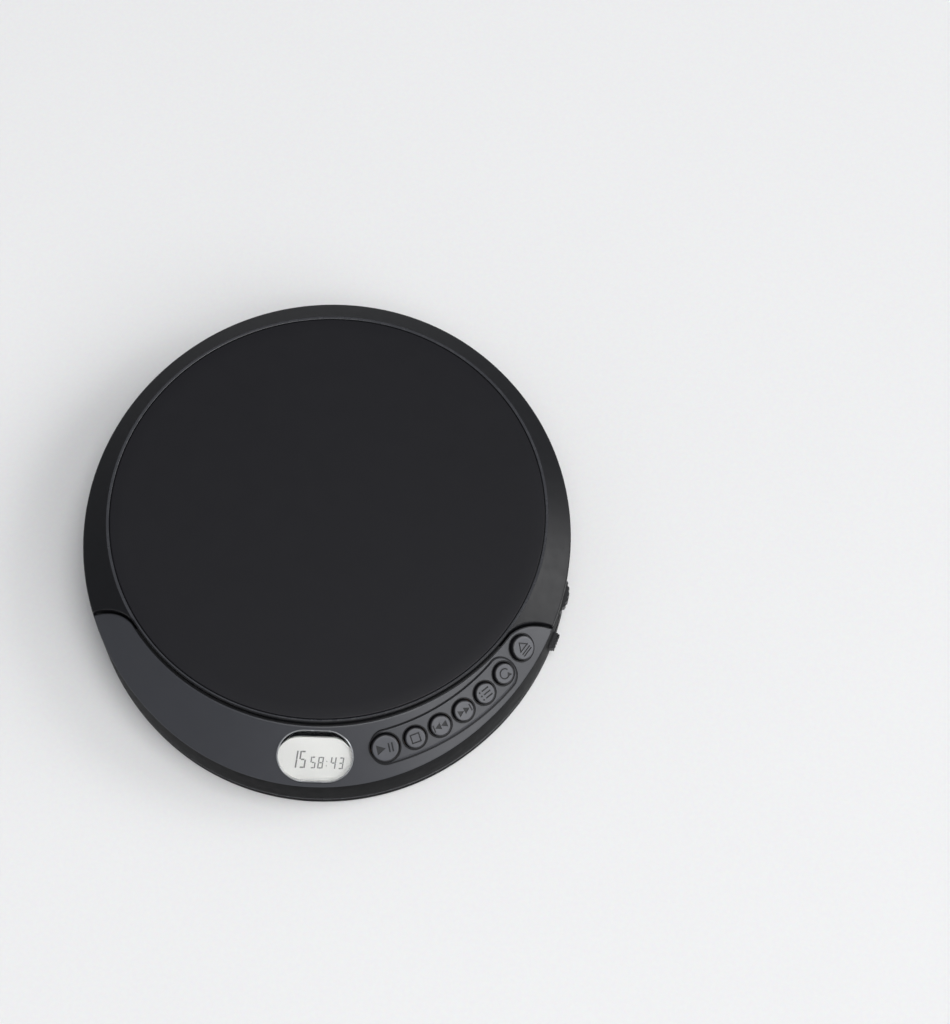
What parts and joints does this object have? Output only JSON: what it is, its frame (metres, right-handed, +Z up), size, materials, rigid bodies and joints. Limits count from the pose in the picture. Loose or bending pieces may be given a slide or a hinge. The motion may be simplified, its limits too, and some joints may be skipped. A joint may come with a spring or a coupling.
{
  "type": "portable disc player",
  "caption": "Portable disc player: round hinged lid on an oval case, sloping front panel with keys and display window, side controls and a full disc drive under the lid.",
  "frame": {"origin": "on the table under the middle of the case", "axes": "+X to the player's right, +Y to the rear where the lid is hinged, +Z up"},
  "size_m": [0.1401, 0.148, 0.0262],
  "materials": {
    "case_black": "fine satin grain",
    "case_grey": "satin metallic grey",
    "lid_satin": "satin",
    "lid_soft": "soft matte coat",
    "key_grey": "satin",
    "control_black": "satin",
    "inner_black": "matte",
    "hub_black": "satin",
    "steel": "brushed",
    "foot_rubber": "matte",
    "window_clear": "clear, polished",
    "lcd_grey": "smooth grey-green",
    "board_green": "lacquered",
    "capacitor_sleeve": "shrink sleeve",
    "flex_film": "amber film",
    "chassis_metal": "satin",
    "gear_ivory": "satin",
    "lens_blue": "polished"
  },
  "bodies": {
    "case": {"lower_case": "case_black", "upper_case": "case_grey", "feet": "foot_rubber", "case_screws": "steel", "hinge_pin": "steel", "lid_spring": "steel", "battery_springs": "steel", "battery_plates": "steel", "key_flex": "flex_film", "key_domes": "steel", "latch_spring": "steel", "lcd_window": "window_clear", "lcd_glass": "lcd_grey", "lcd_frame": "inner_black", "display_board": "board_green", "volume_pot": "inner_black", "hold_switch": "inner_black", "earphone_jack": "control_black", "power_jack": "control_black", "main_board": "board_green", "board_chips": "inner_black", "board_capacitors": "capacitor_sleeve", "lid_switch": "inner_black", "chassis": "chassis_metal", "chassis_dampers": "foot_rubber", "chassis_screws": "steel", "spindle_motor": "steel", "guide_rods": "steel", "sled_motor": "steel"},
    "lid": {"lid_shell": "lid_satin", "lid_panel": "lid_soft"},
    "play_key": {"play_button": "key_grey"},
    "stop_key": {"stop_button": "key_grey"},
    "back_key": {"back_button": "key_grey"},
    "forward_key": {"forward_button": "key_grey"},
    "program_key": {"program_button": "key_grey"},
    "mode_key": {"mode_button": "key_grey"},
    "open_key": {"open_button": "key_grey"},
    "latch": {"latch_slide": "inner_black"},
    "door": {"battery_door": "case_black"},
    "volume": {"volume_wheel": "control_black"},
    "hold": {"hold_knob": "control_black"},
    "lid_pin": {"lid_switch_pin": "gear_ivory"},
    "hub": {"turntable_hub": "hub_black", "hub_balls": "steel"},
    "sled": {"pickup_sled": "hub_black"},
    "lens": {"pickup_lens": "lens_blue"},
    "gear": {"drive_gear": "gear_ivory"},
    "pinion": {"motor_pinion": "gear_ivory"}
  },
  "joints": [
    {"name": "lid_hinge", "type": "hinge", "parent": "case", "child": "lid", "pos_m": [0, 0.0692, 0.02], "axis": [-1, 0, 0], "range_deg": [0, 80]},
    {"name": "play_press", "type": "slide", "parent": "case", "child": "play_key", "axis": [-0.155, 0.5493, -0.8211], "range_m": [0, 0.0007], "stiffness_N_per_m": 300},
    {"name": "stop_press", "type": "slide", "parent": "case", "child": "stop_key", "axis": [-0.2216, 0.5259, -0.8211], "range_m": [0, 0.0007], "stiffness_N_per_m": 300},
    {"name": "back_press", "type": "slide", "parent": "case", "child": "back_key", "axis": [-0.2778, 0.4986, -0.8211], "range_m": [0, 0.0007], "stiffness_N_per_m": 300},
    {"name": "forward_press", "type": "slide", "parent": "case", "child": "forward_key", "axis": [-0.3309, 0.465, -0.8211], "range_m": [0, 0.0007], "stiffness_N_per_m": 300},
    {"name": "program_press", "type": "slide", "parent": "case", "child": "program_key", "axis": [-0.3802, 0.4256, -0.8211], "range_m": [0, 0.0007], "stiffness_N_per_m": 300},
    {"name": "mode_press", "type": "slide", "parent": "case", "child": "mode_key", "axis": [-0.4252, 0.3807, -0.8211], "range_m": [0, 0.0007], "stiffness_N_per_m": 300},
    {"name": "open_press", "type": "slide", "parent": "case", "child": "open_key", "axis": [-0.4721, 0.3206, -0.8211], "range_m": [0, 0.0012], "stiffness_N_per_m": 300},
    {"name": "latch_move", "type": "slide", "parent": "case", "child": "latch", "axis": [0.8273, -0.5618, 0], "range_m": [0, 0.0013]},
    {"name": "door_hinge", "type": "hinge", "parent": "case", "child": "door", "pos_m": [0, -0.02167, 0.00175], "axis": [1, 0, 0], "range_deg": [0, 100]},
    {"name": "volume_turn", "type": "hinge", "parent": "case", "child": "volume", "pos_m": [0.06109, -0.01304, 0.0127], "axis": [0, 0, 1], "range_deg": [0, 270]},
    {"name": "hold_slide", "type": "slide", "parent": "case", "child": "hold", "axis": [0.3421, 0.9397, 0], "range_m": [0, 0.003]},
    {"name": "lid_switch_press", "type": "slide", "parent": "case", "child": "lid_pin", "axis": [0, 0, -1], "range_m": [0, 0.001], "stiffness_N_per_m": 100},
    {"name": "hub_spin", "type": "hinge", "parent": "case", "child": "hub", "pos_m": [0, 0.0046, 0.018], "axis": [0, 0, 1], "continuous": true},
    {"name": "sled_slide", "type": "slide", "parent": "case", "child": "sled", "axis": [-1, 0, 0], "range_m": [0, 0.033]},
    {"name": "lens_focus", "type": "slide", "parent": "sled", "child": "lens", "axis": [0, 0, 1], "range_m": [-0.0004, 0.0004], "stiffness_N_per_m": 20},
    {"name": "gear_turn", "type": "hinge", "parent": "case", "child": "gear", "pos_m": [-0.026, 0.0278, 0.01125], "axis": [0, 0, 1], "range_deg": [-245, 5]},
    {"name": "pinion_turn", "type": "hinge", "parent": "case", "child": "pinion", "pos_m": [-0.014, 0.0278, 0.01125], "axis": [0, 0, 1], "range_deg": [-5, 490]}
  ],
  "couplings": [
    {"joint": "gear_turn", "follows": "sled_slide", "rad_per_m": -125},
    {"joint": "pinion_turn", "follows": "sled_slide", "rad_per_m": 250},
    {"joint": "latch_move", "follows": "open_press", "ratio": 1}
  ]
}
